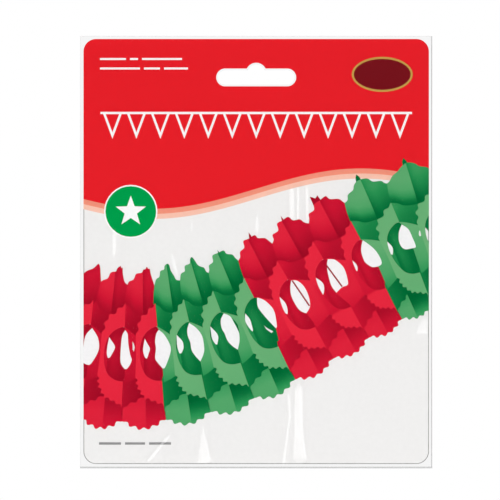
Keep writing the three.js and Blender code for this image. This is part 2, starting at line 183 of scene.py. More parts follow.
def prism(loops, front, back, inner=()):
    """A closed plate of that outline between two levels: points and faces."""
    flat, faces = flat_fill(loops, inner)
    count = len(flat)
    walls = [(b, a, a + count, b + count) for a, b in open_sides(faces)]
    points = [(x, front, z) for x, z in flat] + [(x, back, z) for x, z in flat]
    backs = [tuple(i + count for i in reversed(face)) for face in faces]
    return points, faces + backs + walls


def joined(parts):
    """Several meshes as one list of points and one of faces."""
    points = []
    faces = []
    for part_points, part_faces in parts:
        start = len(points)
        points += list(part_points)
        faces += [tuple(i + start for i in face) for face in part_faces]
    return points, faces


# Outlines, as lists of points in X and Z


def arc(x, z, radius, start, end, steps=16):
    angles = np.linspace(math.radians(start), math.radians(end), steps)
    return [(x + radius * math.cos(a), z + radius * math.sin(a)) for a in angles]


def ellipse(x, z, half_width, half_height, steps=48):
    angles = [2 * math.pi * i / steps for i in range(steps)]
    return [(x + half_width * math.cos(a), z + half_height * math.sin(a)) for a in angles]


def card_outline(inset):
    radius = CARD_CORNER_RADIUS - inset
    left, right = CARD_LEFT + CARD_CORNER_RADIUS, CARD_RIGHT - CARD_CORNER_RADIUS
    foot, top = CARD_FOOT + CARD_CORNER_RADIUS, CARD_TOP - CARD_CORNER_RADIUS
    corners = ((right, top, 0), (left, top, 90), (left, foot, 180), (right, foot, 270))
    return [p for x, z, start in corners for p in arc(x, z, radius, start, start + 90)]


def slot_outline(inset):
    end_radius = SLOT_HEIGHT / 2 - inset
    end = SLOT_WIDTH / 2 - SLOT_HEIGHT / 2
    middle = -SLOT_RISE - SLOT_HEIGHT / 2
    rise_radius = SLOT_RISE_RADIUS - inset
    start = math.degrees(math.asin((middle + end_radius + SLOT_RISE_RADIUS) / rise_radius))
    return (
        arc(end, middle, end_radius, -90, 90)
        + arc(0, -SLOT_RISE_RADIUS, rise_radius, start, 180 - start)
        + arc(-end, middle, end_radius, 90, 270)
    )


def spline(points, steps):
    """A smooth curve through the points, as evenly spaced points and their directions."""
    points = np.asarray(points, float)
    padded = np.vstack([points[:1], points, points[-1:]])
    share = np.linspace(0, 1, 40, endpoint=False)[:, None]
    dense = []
    for p0, p1, p2, p3 in zip(padded, padded[1:], padded[2:], padded[3:]):
        v0, v1 = (p2 - p0) / 2, (p3 - p1) / 2
        cubic = (2 * p1 - 2 * p2 + v0 + v1) * share**3
        dense.append(cubic + (-3 * p1 + 3 * p2 - 2 * v0 - v1) * share**2 + v0 * share + p1)
    dense = np.vstack(dense + [points[-1:]])
    lengths = np.concatenate([[0], np.cumsum(np.linalg.norm(np.diff(dense, axis=0), axis=1))])
    at = np.linspace(0, lengths[-1], steps + 1)
    even = np.column_stack([np.interp(at, lengths, dense[:, i]) for i in (0, 1)])
    ways = np.gradient(even, axis=0)
    return even, ways / np.linalg.norm(ways, axis=1)[:, None]


def sheet_loops():
    """One garland sheet about its middle: the pinked outline and the two ovals."""
    corners = [(across * FOLD, up * lobe) for across, up, lobe in SHEET_HALF_OUTLINE]
    steps = PINKS_PER_SIDE * STEPS_PER_PINK
    points, ways = spline(corners, steps)
    points[:, 0] = np.minimum(points[:, 0], 2 * FOLD)
    bites = PINK_DEPTH * np.abs(np.sin(math.pi * np.arange(steps + 1) / STEPS_PER_PINK))
    right = points + bites[:, None] * np.column_stack([ways[:, 1], -ways[:, 0]])
    left = right[1:-1][::-1] * (-1, 1)
    outline = np.vstack([right, left])[::-1]
    ovals = [ellipse(side * FOLD, 0, OVAL_HALF_WIDTH, OVAL_HALF_HEIGHT) for side in (-1, 1)]
    return [[tuple(p) for p in outline]] + ovals


def inside(loop, points):
    """Which of the points lie inside the loop."""
    loop = np.asarray(loop, float)
    after = np.roll(loop, -1, axis=0)
    x, z = points[:, :1], points[:, 1:]
    spans = (loop[:, 1] > z) != (after[:, 1] > z)
    rise = np.where(after[:, 1] == loop[:, 1], 1, after[:, 1] - loop[:, 1])
    crossing = loop[:, 0] + (z - loop[:, 1]) * (after[:, 0] - loop[:, 0]) / rise
    return (spans & (x < crossing)).sum(axis=1) % 2 == 1


def fill_points(loops, columns, rows, clear):
    """The points of a grid that lie in the outline, off its holes and clear of every edge point."""
    grid = np.array([(x, z) for x in columns for z in rows])
    keep = inside(loops[0], grid)
    for hole in loops[1:]:
        keep &= ~inside(hole, grid)
    grid = grid[keep]
    edge = np.array([p for loop in loops for p in loop])
    near = np.array([np.min(np.hypot(*(edge - p).T)) for p in grid])
    return [tuple(p) for p in grid[near > clear]]


# Materials

INK_ROUGHNESS = 0.45
FILM_CLEARNESS = 0.958
FILM_ROUGHNESS = 0.15
FLAT_FILM_INDEX = 1.06
PULLED_FILM_INDEX = 1.2
CREASED_FILM_INDEX = 1.31
CARD_WHITE = linear(240, 239, 238)
# Grey for the painted shade along the card's cut edge
EDGE_SHADE_GREY = linear(152, 151, 149)
DASH_GREY = linear(150, 150, 150)
WHITE_INK = linear(252, 252, 252)
WINDOW_WHITE = linear(247, 246, 247)
RED_INK = under_film(232, 34, 43)
SALMON_INK = under_film(243, 150, 126)
BLUSH_INK = under_film(250, 198, 178)
GREEN_INK = under_film(0, 160, 77)
GOLD_INK = under_film(200, 160, 80)
MAROON_INK = under_film(120, 22, 30)
GREEN_TISSUE = linear(42, 140, 82)
RED_TISSUE = linear(206, 24, 52)


def new_material(name):
    made = bpy.data.materials.new(name)
    made.use_nodes = True
    return made, made.node_tree, made.node_tree.nodes["Principled BSDF"]


def settle(node, **settings):
    """Sets inputs of a node, named with _ for each space."""
    for name, value in settings.items():
        node.inputs[name.replace("_", " ")].default_value = value


def add_node(tree, kind, **settings):
    node = tree.nodes.new(kind)
    settle(node, **settings)
    return node


def mottled(tree, shader, colour, depth, scale):
    """A base colour that varies a little from place to place."""
    place = add_node(tree, "ShaderNodeTexCoord")
    noise = add_node(tree, "ShaderNodeTexNoise", Scale=scale, Detail=3)
    tints = add_node(tree, "ShaderNodeValToRGB")
    dark, light = tints.color_ramp.elements
    dark.position = 0.3
    light.position = 0.7
    dark.color = (*(c * (1 - depth) for c in colour), 1)
    light.color = (*(min(1, c * (1 + depth)) for c in colour), 1)
    tree.links.new(place.outputs["Object"], noise.inputs["Vector"])
    tree.links.new(noise.outputs["Fac"], tints.inputs["Fac"])
    tree.links.new(tints.outputs["Color"], shader.inputs["Base Color"])


# A flat mottled material for printed ink, also used for the painted shade along the card's edge
def ink_and_shade_material(name, colour):
    made, tree, shader = new_material(name)
    mottled(tree, shader, colour, depth=0.02, scale=700)
    settle(shader, Roughness=INK_ROUGHNESS, Specular_IOR_Level=0)
    return made


def card_material():
    made, tree, shader = new_material("coated white card")
    mottled(tree, shader, CARD_WHITE, depth=0.01, scale=500)
    settle(shader, Roughness=0.5, Specular_IOR_Level=0.25)
    return made


def picture_material():
    made, tree, shader = new_material("pictured garland ink")
    colour = add_node(tree, "ShaderNodeVertexColor")
    colour.layer_name = "ink"
    tree.links.new(colour.outputs["Color"], shader.inputs["Base Color"])
    settle(shader, Roughness=INK_ROUGHNESS, Specular_IOR_Level=0)
    return made


def tissue_material(name, colour):
    made, tree, shader = new_material(name)
    mottled(tree, shader, colour, depth=0.08, scale=260)
    settle(shader, Roughness=0.9, Sheen_Weight=0.25, Specular_IOR_Level=0.1)
    crinkle = add_node(tree, "ShaderNodeTexNoise", Scale=420, Detail=5)
    bump = add_node(tree, "ShaderNodeBump", Strength=0.25, Distance=0.0004)
    tree.links.new(crinkle.outputs["Fac"], bump.inputs["Height"])
    tree.links.new(bump.outputs["Normal"], shader.inputs["Normal"])
    return made


def film_material(name, index):
    """Clear film: mostly see-through, with a gloss that grows with the index and towards grazing angles."""
    made, tree, shader = new_material(name)
    tree.nodes.remove(shader)
    out = tree.nodes["Material Output"]
    clear = add_node(tree, "ShaderNodeBsdfTransparent", Color=(*[FILM_CLEARNESS] * 3, 1))
    gloss = add_node(tree, "ShaderNodeBsdfGlossy", Roughness=FILM_ROUGHNESS)
    fresnel = add_node(tree, "ShaderNodeFresnel", IOR=index)
    mix = add_node(tree, "ShaderNodeMixShader")
    tree.links.new(fresnel.outputs["Fac"], mix.inputs["Fac"])
    tree.links.new(clear.outputs["BSDF"], mix.inputs[1])
    tree.links.new(gloss.outputs["BSDF"], mix.inputs[2])
    tree.links.new(mix.outputs["Shader"], out.inputs["Surface"])
    return made


def film_shadow_rim_material():
    """Painted shadow: grey and partly see-through, for the film's rim at its right side and foot."""
    made, _, shader = new_material("film rim painted shadow")
    settle(shader, Base_Color=(0.3, 0.3, 0.3, 1), Roughness=0.5, Alpha=0.34)
    return made


# CAD nodes that stay in view, with the name and the colour of their ink
INKS = (
    ("header_print", "red ink", RED_INK),
    ("upper_stripe_print", "salmon ink", SALMON_INK),
    ("lower_stripe_print", "blush ink", BLUSH_INK),
    ("badge_rim_print", "white ink", WHITE_INK),
    ("badge_disc_print", "green ink", GREEN_INK),
    ("badge_star_print", "star ink", WHITE_INK),
    ("bunting_print", "bunting ink", WHITE_INK),
    ("emblem_rim_print", "gold ink", GOLD_INK),
    ("emblem_field_print", "maroon ink", MAROON_INK),
)


def dress(node, look):
    """Gives a CAD node that stays in view its material."""
    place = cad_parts[node].material_slots[0]
    place.link = "OBJECT"
    place.material = look


# Pictured garland: fields of colour, ring after ring along the swag line.
# Each ring's shapes are (along, up) in mm from the place where the line joins the ring before it.

# Upper edges of the petals, from each petal's left notch to short of the next one's
TOP_EDGES = {
    -3: ((9, 35), (12, 38.4), (15, 40), (16.2, 41.2), (17.6, 42.6), (18.6, 41.2), (19.3, 38.2)),
    -2: ((2.9, 34.4), (3.9, 35.2), (6.4, 36.4), (7.3, 38.7), (8.6, 39.6), (10.6, 40), (11.1, 41.3),
        (12.9, 42.7), (13.6, 41.6), (14.3, 42), (14.7, 39.3), (16.1, 35.4)),
    -1: ((0.8, 34.1), (1.7, 35.7), (4.2, 36.6), (5.3, 38.6), (6.2, 39.5), (9.6, 40), (10.6, 41.4),
        (12.1, 41.6), (13.1, 42.8), (13.9, 41.8), (15.1, 41.6), (15.6, 39.3), (17, 35.4)),
    0: ((0.4, 33.6), (1, 34.9), (2, 36.6), (4.3, 37.7), (5, 39.9), (6, 40.5), (8.1, 40.8),
        (8.8, 42.5), (11, 43.3), (12.2, 42.4), (12.6, 40), (14.2, 37.1), (15.3, 35)),
    1: ((0.4, 34.4), (1.6, 37), (2.7, 37.7), (4.8, 38.2), (5.7, 40.6), (9.2, 41.1), (10.2, 42.9),
        (11.6, 43.8), (12.7, 42.5), (13.8, 39.6), (15.2, 38.2), (17, 37.1), (17.5, 35)),
    2: ((1.4, 34), (2.4, 35.4), (3.1, 37.3), (5.9, 38.2), (7, 41.1), (10.2, 41.3), (13.8, 41.3),
        (14.5, 39.3), (17.1, 37.7), (17.7, 35.7)),
    3: ((1.4, 33.8), (3, 35), (4.1, 37.3), (6.8, 38.2), (7.8, 41.2), (10.6, 41.1), (13.9, 41.3),
        (14.6, 39.3), (17.3, 37.7), (18.4, 35.4)),
    4: ((1.9, 33.6), (3.3, 35), (3.9, 37.3), (6.9, 37.8), (7.9, 41), (10.4, 41.1), (13.3, 41.3),
        (14.4, 38.7), (17, 37.5), (18, 35.2)),
    5: ((2.3, 33.6), (3.4, 35.7), (4.1, 37.7), (6.6, 38.2), (7.7, 40.7), (10.4, 41.1), (13.1, 41.6),
        (14, 39.4), (17, 37.5), (17.9, 35.6)),
    6: ((1.2, 34.4), (2.7, 35), (3.7, 37.3), (6.2, 38.4), (7.1, 40.1), (8.5, 41.4), (10.5, 41.6),
        (12.7, 40.7), (14.1, 38.3), (16.9, 37.1), (17.8, 35.6)),
    7: ((1.5, 34.8), (2.6, 35.4), (4.4, 37.5), (6.5, 38.6), (8, 40), (10.5, 41.4), (13, 40.2),
        (14.6, 38), (17, 36.6)),
    8: ((1.4, 34.4), (4, 37.4), (7.6, 40.6), (11, 41.4), (14, 39), (17, 36.6)),
    9: ((1.4, 34.4),),
}
TOP_PETAL_FOOT = ((16.6, 22.5), (13, 20.6), (9, 20.1), (4.8, 21.4), (2.8, 23.6))
TOP_PETAL_FOOT_UP = 25.2
TOP_PETAL_CREASE = 10.2

# Dark tips that stand up behind some of the petals
FAR_TIPS = {
    2: ((10.2, 40), (10.9, 42.7), (11.6, 40)),
    3: ((10.7, 40), (11.3, 42.2), (12, 43.8), (12.3, 42), (12.2, 40)),
    4: ((10.1, 40), (10.8, 43.5), (11.3, 40)),
    5: ((7.2, 39), (7.6, 44.9), (8.6, 43.7), (9.2, 42.9), (10.4, 43.8), (10.9, 40)),
    6: ((8.2, 40), (8.8, 43.2), (9.6, 44.7), (10.3, 43), (10.5, 40)),
    7: ((8.9, 39), (9.1, 42.4), (9.9, 44.1), (10.7, 42.4), (10.9, 39)),
}

# Large windows: the right edge from top to foot, then the points of the left edge from top to foot
LARGE_WINDOWS = {
    -2: (((1.4, 11.8), (4.6, 7.9), (5.9, 3.6), (5.4, 0), (2.9, -5.4), (1.4, -5.9)),
        ((-1.2, 8), (-1.5, 2), (-1, -4.6))),
    -1: (((0.8, 12.3), (2.2, 10.6), (2.8, 5.7), (3.9, 0.7), (4.7, -2.1), (2.9, -5.9), (1.6, -6.3)),
        ((-0.5, 9.6), (-0.8, 4.3), (-0.5, -3.2))),
    0: (((1.3, 12.4), (3.8, 10), (5.7, 6.4), (6.5, 3.2), (5.7, 0), (2.8, -5.9), (1.8, -6.2)),
        ((-0.1, 10.7), (-1, 7.1), (-0.8, 3.6), (-1.4, -1.1), (-0.1, -3.6))),
    1: (((0.5, 13.6), (3.4, 10.7), (5.2, 7.1), (5.4, 3.6), (4.5, -1.4), (1.9, -5.5)),
        ((-1, 11.1), (-1.5, 7.9), (-0.9, 4.3), (-1, 0.7), (0.2, -2.5))),
    2: (((1.6, 13.4), (4, 11.1), (4.7, 7.1), (5.2, 2.9), (4.1, -1.4), (2, -5.1)),
        ((-0.8, 11), (-1.7, 7.1), (-1.2, 4.3), (-1, 0.7), (0.2, -2.5))),
    3: (((1.9, 14.3), (4.4, 11.4), (5.9, 7.1), (5.9, 3.6), (4.3, -2.2), (3.5, -3)),
        ((0.5, 10.7), (0.6, 7.9), (1.6, 3.6), (2.6, 0))),
    4: (((1.5, 14), (3.7, 12.6), (5.1, 8.6), (4.9, 3.6), (3.4, -1.1), (0.6, -3.2)),
        ((-0.5, 10.7), (-1.6, 7.1), (-1.7, 2.1), (-1, -1.1))),
    5: (((2.4, 14.9), (4.5, 12.8), (6.1, 8.6), (6.1, 5), (4.9, 0), (3.8, -0.9), (1.8, -0.5), (-1.4, -1.6)),
        ((0.4, 11.8), (-1.2, 6.4), (-1.9, 2.1))),
    6: (((1.2, 14.9), (2.7, 11.8), (4.1, 7.9), (4.6, 3.6), (4.1, 0.8), (2.3, 0.4)),
        ((-1.3, 10.7), (-2, 6.4), (-1.8, 4.3), (-0.2, 1.4))),
    7: (((1.2, 14.3), (3.1, 11.1), (3.5, 7.1), (3.6, 2.1), (2.2, 1.8)),
        ((-1, 11.4), (-2.4, 7.5), (-2.3, 4.3), (-1, 2.5))),
}

# Small windows, which lie left of each join
SMALL_WINDOWS = {
    -1: ((-6.9, 8.4), (-4.7, 5.7), (-3.6, 3.9), (-4.4, 1.4), (-6.1, -1.8), (-7.2, 0), (-7.4, 3.6)),
    0: ((-6.2, 8.4), (-4.9, 6), (-3.7, 3.6), (-4.3, 1.6), (-5.5, -1.3), (-6.7, 0.7), (-7.1, 3.6)),
    1: ((-7, 9.1), (-4.7, 5.9), (-4.4, 3.8), (-4.8, 1.8), (-6.6, -0.2), (-7.5, 3.6)),
    2: ((-6.7, 9.6), (-4.7, 5.7), (-4.5, 3.6), (-5.4, 1.4), (-6.3, 0.1), (-7.2, 2.2), (-7.5, 4.3)),
    3: ((-6.1, 9.6), (-5.2, 6.4), (-5.4, 3.6), (-6.1, 0.2), (-7.1, 2.9), (-7.4, 6.4)),
    4: ((-6.3, 10), (-5.3, 6.4), (-5.4, 3.6), (-6.7, 0.6), (-7.6, 3.6), (-7.3, 7.1)),
    5: ((-6.4, 10.4), (-4.6, 6.4), (-4.8, 3.6), (-6.8, 0.6), (-7.8, 2.5), (-8, 6.4)),
    6: ((-6.6, 9.1), (-5.7, 6.4), (-5.8, 4.3), (-6.8, 2.9), (-7.3, 5.7)),
    7: ((-7, 9.3), (-6, 5.7), (-7.3, 2.5), (-7.9, 4.3), (-7.8, 7)),
}

# Slivers of white beside three of the windows, a dark leaf, and dark lines that cross two windows
STRIP_SLIVERS = {
    -1: ((4.8, 7.1), (5.6, 5.7), (6, 4.3), (5.6, 2.1), (5, 3.2)),
    7: ((6.5, 7.1), (7.2, 8.7), (7.7, 8.6), (7.3, 6.1), (6.6, 6)),
}
INSIDE_SLIVERS = {3: ((-0.6, 0.7), (0.2, -1.1), (1.9, -3.7), (0.9, -4.1), (-0.4, -1.4))}
DARK_MARKS = {
    2: ((4.6, 9.8), (5.4, 8.2), (5.9, 6), (5.6, 3.6), (5.2, 2), (5, 5)),
    4: ((1.6, 13.8), (2.2, 13.6), (3.5, -0.9), (2.9, -0.7)),
    5: ((0.1, 12.2), (0.7, 12.2), (2.2, -0.3), (1.6, -0.2)),
}

# Outlines that all rings share
NECK_LEFT = ((-1.4, 25.8), (-1.4, 23), (0.2, 21))
NECK_ARCH = ((0.3, 14.3), (1, 14), (3, 12.8), (5.6, 10.9))
NECK_ARCH_TOP = 13.4
NECK_ARCH_FALL = 0.57
NECK_RIGHT = ((15.5, 18), (15.5, 24), (9, 24))
STRIP_FOOT = ((1.8, -12.6), (4.5, -11.6))
COLLAR_UPPER = ((0.3, 25.3), (-2.6, 23.9), (-5.2, 21.2), (-8.2, 19.1), (-9.7, 15.4), (-10.3, 11))
COLLAR_SIDE = ((-10.3, 11), (-10, 0), (-10.2, -9.6))
COLLAR_LOWER = ((-10.2, -9.6), (-9.8, -13.8), (-8.3, -17), (-6.4, -19.8), (-3, -21.5), (1.1, -24))
SHADED_COLLARS = (5, 6)
COLLAR_OVAL = (
    (1.1, -11.8), (-2.2, -11.2), (-5, -9.4), (-6.6, -6.7), (-7.8, -2.8), (-8.2, 1.7),
    (-7.8, 6.1), (-6.6, 9.7), (-4.4, 12.3), (-1.6, 13.9), (0.6, 14.4),
)
INSIDE_LEFT = ((0.5, 14.2), (-3, 14), (-7.3, 11), (-9, 1.7), (-7.6, -8), (-3, -12), (2.2, -12.6))
INSIDE_CREASE = -6.4
COLLAR_REACH = 9
LOWER_PAGE_TOP = ((0.9, -12), (1.6, -9.5))
LOWER_PAGE_CORNER = (13, -14)
LOWER_PAGE_FOOT = ((1.2, -26), (4.2, -22.6), (7.4, -21.3), (9.6, -19.3), (13, -21))
LOWER_PETAL_EDGE = ((1.6, -30.2), (4.5, -32.5), (9.5, -34.3), (14.5, -33.2), (18.8, -30.2))
LOWER_PETAL_TOP = ((18.6, -18), (14, -16), (1.2, -18), (1.2, -25))
LOWER_PETAL_CREASE = 11

# How far a height of the shapes moves up from each ring to the next
DRIFT_FROM_RING = 1
DRIFT = ((-34, 0.72), (-24, 0.37), (-12, 0.27), (0, 0.33), (14, 0.28), (25, 0.1), (43, 0))

# Dark, middle and light tones as they are seen
GREEN_TONES = ((0, 102, 51), (42, 147, 83), (112, 180, 123))
RED_TONES = ((158, 14, 38), (207, 24, 52), (233, 44, 66))
FAR_TIP_TONE = 0.12

# The plates that the shapes are made into: grid steps, gaps and levels above the header's ink
PICTURE_SECTIONS = 4
PLATE_COLUMN_STEP = 1.4
PLATE_ROW_STEP = 1.2
PLATE_ROW_START = 0.5
PLATE_EDGE_GAP = 0.3
PLATE_CREASE_GAP = 0.5
PLATE_CREASE_HALF = 0.12
PLATE_LEVELS = 5
WINDOW_FIELD_LEVEL = -0.6
WINDOW_FIELD_GROWTH = 1.08


def ramp(value, *stops):
    """A level that follows the (place, level) stops."""
    return float(np.interp(value, [s[0] for s in stops], [s[1] for s in stops]))


def is_red(ring):
    """Every other three rings are red, the three before the first join among them."""
    return (ring // RINGS_PER_COLOUR) % 2 == 1


def tone_colour(tones, level):
    """The ink for a level between the dark, the middle and the light tone."""
    seen = [float(np.interp(level, (0, 0.5, 1), shades)) for shades in zip(*tones)]
    return [*under_film(*seen), 1.0]


def wavy(corners, waves, depth):
    """A smooth line through the corners, with scallops cut into its right-hand side."""
    steps = 6
    points, ways = spline(corners, waves * steps)
    bites = depth * np.sin(math.pi * np.arange(len(points)) / steps) ** 2
    return [tuple(p) for p in points + bites[:, None] * np.column_stack([ways[:, 1], -ways[:, 0]])]


def smooth_line(corners, steps):
    return [tuple(p) for p in spline(corners, steps)[0]]


# Tones of the shapes, from 0 for dark to 1 for light


def top_petal_tone(ring, along, up):
    """Darker towards the foot and right of the crease, and most of all just right of it."""
    above = up - ramp(along, (0, TOP_PETAL_FOOT_UP), *sorted(TOP_PETAL_FOOT))
    if along < TOP_PETAL_CREASE:
        if is_red(ring):
            return ramp(above, (0, 0.15), (3, 0.36), (7, 0.62), (12, 0.84), (16, 0.86))
        return ramp(above, (0, 0.05), (2, 0.2), (4.5, 0.56), (8, 0.8), (13, 0.88))
    shade = ramp(along - TOP_PETAL_CREASE, (0, 0.2), (2.4, 0))
    if is_red(ring):
        return ramp(above, (0, 0.02), (4, 0.18), (9, 0.38), (15, 0.5), (22, 0.42)) - shade
    if ring > LAST_RED_RING:
        return ramp(above, (0, 0.06), (4, 0.2), (9, 0.42), (15, 0.62), (22, 0.66)) - shade
    return ramp(above, (0, 0), (4, 0.08), (9, 0.28), (15, 0.5), (22, 0.46)) - shade


def even_tone(level):
    return lambda ring, along, up: level


def neck_tone(ring, along, up):
    tone = ramp(up, (9, 0.02), (16, 0.16), (22, 0.34)) * ramp(along, (0, 1.25), (6, 0.6))
    if ring < 0:
        return tone + 0.02
    return tone + (0.18 if is_red(ring) else 0.2 if ring > LAST_RED_RING else 0.06)


def strip_tone(ring, along, up):
    tone = ramp(up, (-12, 0.55), (-6, 0.78), (2, 0.85), (9, 0.95), (13, 0.9))
    return 0.55 * tone if ring < 0 else tone


def inside_tone(ring, along, up):
    lift = 0.16 if is_red(ring - 1) and ring > 0 else 0.04
    if along < INSIDE_CREASE and up < 3:
        return ramp(up, (-11, 0.1), (-5, 0.4), (2, 0.5))
    across = ramp(along, (-8, 0.1), (-6, 0.12), (-4, 0.35), (-2.5, 0.3), (0, 0.12), (2, 0.1))
    return across * ramp(up, (-12, 0.2), (-6, 0.7), (0, 1), (7, 1), (12, 0.4)) + lift


def collar_tone(ring, along, up):
    if ring in SHADED_COLLARS:
        return ramp(up, (-11.4, 0.95), (-10.4, 0.5), (-6, 0.6), (4, 0.75), (9, 0.97))
    return ramp(up, (-22, 0.94), (0, 1), (20, 0.97))


def lower_page_tone(ring, along, up):
    lift = 0.2 if is_red(ring) and ring > 0 else 0.02
    return ramp(along, (1, 0.25), (5, 0.12), (9, 0.02)) + lift


def lower_petal_crease(ring):
    return ramp(ring, (4, LOWER_PETAL_CREASE), (6, LOWER_PETAL_CREASE - 2.2))


def lower_petal_tone(ring, along, up):
    if along < lower_petal_crease(ring):
        return ramp(up, (-34, 0.8), (-26, 0.82), (-20, 0.66))
    if is_red(ring):
        return ramp(up, (-34, 0.6), (-30, 0.52), (-26, 0.36), (-21, 0.14))
    return ramp(up, (-34, 0.75), (-30, 0.5), (-26, 0.14), (-22, 0))


# Shapes of the rings


def left_share(ring):
    """How wide the shapes left of a join are seen: less towards the right of the card."""
    return ramp(ring, (0, 1.05), (1, 1), (2, 1), (5, 0.83), (6, 0.84), (7, 0.95))


def before_drift(ring, points, narrowing=1):
    """Takes the drift and the narrowing back from points given as they are seen at their ring."""
    rises = [d[1] for d in DRIFT]
    made = []
    for along, up in points:
        rings = ring - DRIFT_FROM_RING + along / RING_SPACING
        seen = [height + rings * rise for height, rise in DRIFT]
        level = up - rings * float(np.interp(up, seen, rises))
        made.append((along / narrowing if along < 0 else along, level))
    return made


def nearest(table, ring):
    """A ring's entry in a table by rings, or that of the table's end where the ring is past it."""
    return table[min(max(ring, min(table)), max(table))]


def window_sides(ring):
    """The right and left edges of a ring's large window, from its top to its foot."""
    right, left = nearest(LARGE_WINDOWS, ring)
    share = left_share(ring)
    left = [right[0], *left, right[-1]]
    right_line = smooth_line(before_drift(ring, right, share), steps=22)
    return right_line, smooth_line(before_drift(ring, left, share), steps=20)


def small_window(ring):
    """The small window left of a ring's join."""
    points = before_drift(ring, nearest(SMALL_WINDOWS, ring), left_share(ring))
    return smooth_line([*points, points[0]], steps=20)[:-1]


def petal_side(ring):
    """The left side of a ring's top petal, from its foot to its notch."""
    x, z = TOP_EDGES[ring][0]
    foot, middle = (x - 1.2, TOP_PETAL_FOOT_UP), (x - 0.8, (z + TOP_PETAL_FOOT_UP) / 2)
    return smooth_line((foot, middle, (x, z)), steps=6)


def top_petal_shape(ring):
    next_side = [(x + RING_SPACING, z) for x, z in petal_side(ring + 1)][::-1]
    edge = smooth_line([*TOP_EDGES[ring], next_side[0]], steps=54)
    foot = smooth_line([next_side[-1], *TOP_PETAL_FOOT, petal_side(ring)[0]], steps=20)
    return petal_side(ring)[:-1] + edge[:-1] + next_side[:-1] + foot[:-1]


def right_shapes(ring):
    """The shapes right of a join: ink level, outline and its holes, creases and tones."""
    reach = RING_SPACING - COLLAR_REACH * left_share(ring + 1)
    arch = smooth_line([*NECK_ARCH, (reach, NECK_ARCH_TOP - NECK_ARCH_FALL * reach)], steps=16)
    neck = [*NECK_LEFT, *arch, (reach + 2.5, 14), *NECK_RIGHT]
    window = window_sides(ring)[0]
    strip = [*window, *STRIP_FOOT, (reach, -9.6), (reach, 8), *arch[::-1]]
    slivers = [before_drift(ring, STRIP_SLIVERS[ring])] if ring in STRIP_SLIVERS else []
    page_foot = wavy(LOWER_PAGE_FOOT[::-1], waves=4, depth=0.7)
    page = [*LOWER_PAGE_TOP, (reach, -9), LOWER_PAGE_CORNER, *page_foot]
    petal = [*wavy(LOWER_PETAL_EDGE, waves=5, depth=-1.3), *LOWER_PETAL_TOP]
    shapes = [
        (1, [petal], [lower_petal_crease(ring)], lower_petal_tone),
        (1, [neck], [], neck_tone),
        (2, [page], [], lower_page_tone),
        (2, [top_petal_shape(ring)], [TOP_PETAL_CREASE], top_petal_tone),
        (3, [strip, *slivers], [], strip_tone),
    ]
    if ring in FAR_TIPS:
        shapes.append((0, [list(FAR_TIPS[ring])], [], even_tone(FAR_TIP_TONE)))
    if ring in DARK_MARKS:
        shapes.append((3.5, [before_drift(ring, DARK_MARKS[ring])], [], even_tone(0)))
    return shapes


def left_shapes(ring):
    """The shapes left of a join, which belong to the ring before it."""
    window = window_sides(ring)[1]
    inside_loop = smooth_line(INSIDE_LEFT, steps=30) + window[::-1]
    holes = [small_window(ring)]
    if ring in INSIDE_SLIVERS:
        holes.append(before_drift(ring, INSIDE_SLIVERS[ring], left_share(ring)))
    collar = wavy(COLLAR_UPPER, waves=4, depth=-1.2)[:-1] + smooth_line(COLLAR_SIDE, steps=8)[:-1]
    collar += wavy(COLLAR_LOWER, waves=7, depth=-1) + smooth_line(COLLAR_OVAL, steps=36)
    return [
        (0, [inside_loop, *holes], [INSIDE_CREASE], inside_tone),
        (4, [collar], [], collar_tone),
    ]


def swag_place(x, height):
    """Points along the swag line at x and across it by the height, on the card."""
    phase = 2 * math.pi * (x - SWAG_STEEPEST) / SWAG_LENGTH
    angle = np.arctan(SWAG_SLOPE + SWAG_SWING * np.cos(phase))
    rise = SWAG_SLOPE * (x - SWAG_STEEPEST) + SWAG_SWING * SWAG_LENGTH * np.sin(phase) / (2 * math.pi)
    return x - height * np.sin(angle), SWAG_MID + rise + height * np.cos(angle)


def picture_place(ring, along, up):
    """Where a point of a ring's shapes lies on the card."""
    rings = ring - DRIFT_FROM_RING + along / RING_SPACING
    moved = up + rings * np.interp(up, [d[0] for d in DRIFT], [d[1] for d in DRIFT])
    return swag_place(FIRST_JOIN + ring * RING_SPACING + along, moved)


def ring_plate(ring, shape, narrowing=1):
    """One shape of a ring as a thin plate on the card, with a tone for each of its points."""
    level, loops, creases, tone = shape
    corners = np.array(loops[0])
    low, high = corners.min(axis=0), corners.max(axis=0)
    columns = list(np.arange(low[0] + PLATE_COLUMN_STEP / 2, high[0], PLATE_COLUMN_STEP))
    columns = [c for c in columns if all(abs(c - at) > PLATE_CREASE_GAP for at in creases)]
    columns += [at + side for at in creases for side in (-PLATE_CREASE_HALF, PLATE_CREASE_HALF)]
    rows = np.arange(low[1] + PLATE_ROW_START, high[1], PLATE_ROW_STEP)
    inner = fill_points(loops, columns, rows, PLATE_EDGE_GAP)
    front = INK_FRONT + (OVERPRINT_FRONT - INK_FRONT) * (level + 1) / PLATE_LEVELS
    points, faces = prism(loops, front, INK_FRONT, inner)
    points = np.array(points)
    tones = [tone(ring, along, up) for along, _, up in points]
    along = np.where(points[:, 0] < 0, points[:, 0] * narrowing, points[:, 0])
    points[:, 0], points[:, 2] = picture_place(ring, along, points[:, 2])
    return points, faces, tones


def cut_at_card(piece):
    """Takes off what reaches past the card's sides, and closes the cut."""
    trimmed = bmesh.new()
    trimmed.from_mesh(piece.data)
    for side in (CARD_LEFT, CARD_RIGHT):
        parts = trimmed.verts[:] + trimmed.edges[:] + trimmed.faces[:]
        outward = (math.copysign(1, side), 0, 0)
        bmesh.ops.bisect_plane(
            trimmed, geom=parts, plane_co=(side * MM, 0, 0), plane_no=outward, clear_outer=True
        )
        bmesh.ops.holes_fill(trimmed, edges=[e for e in trimmed.edges if e.is_boundary])
    trimmed.to_mesh(piece.data)
    trimmed.free()


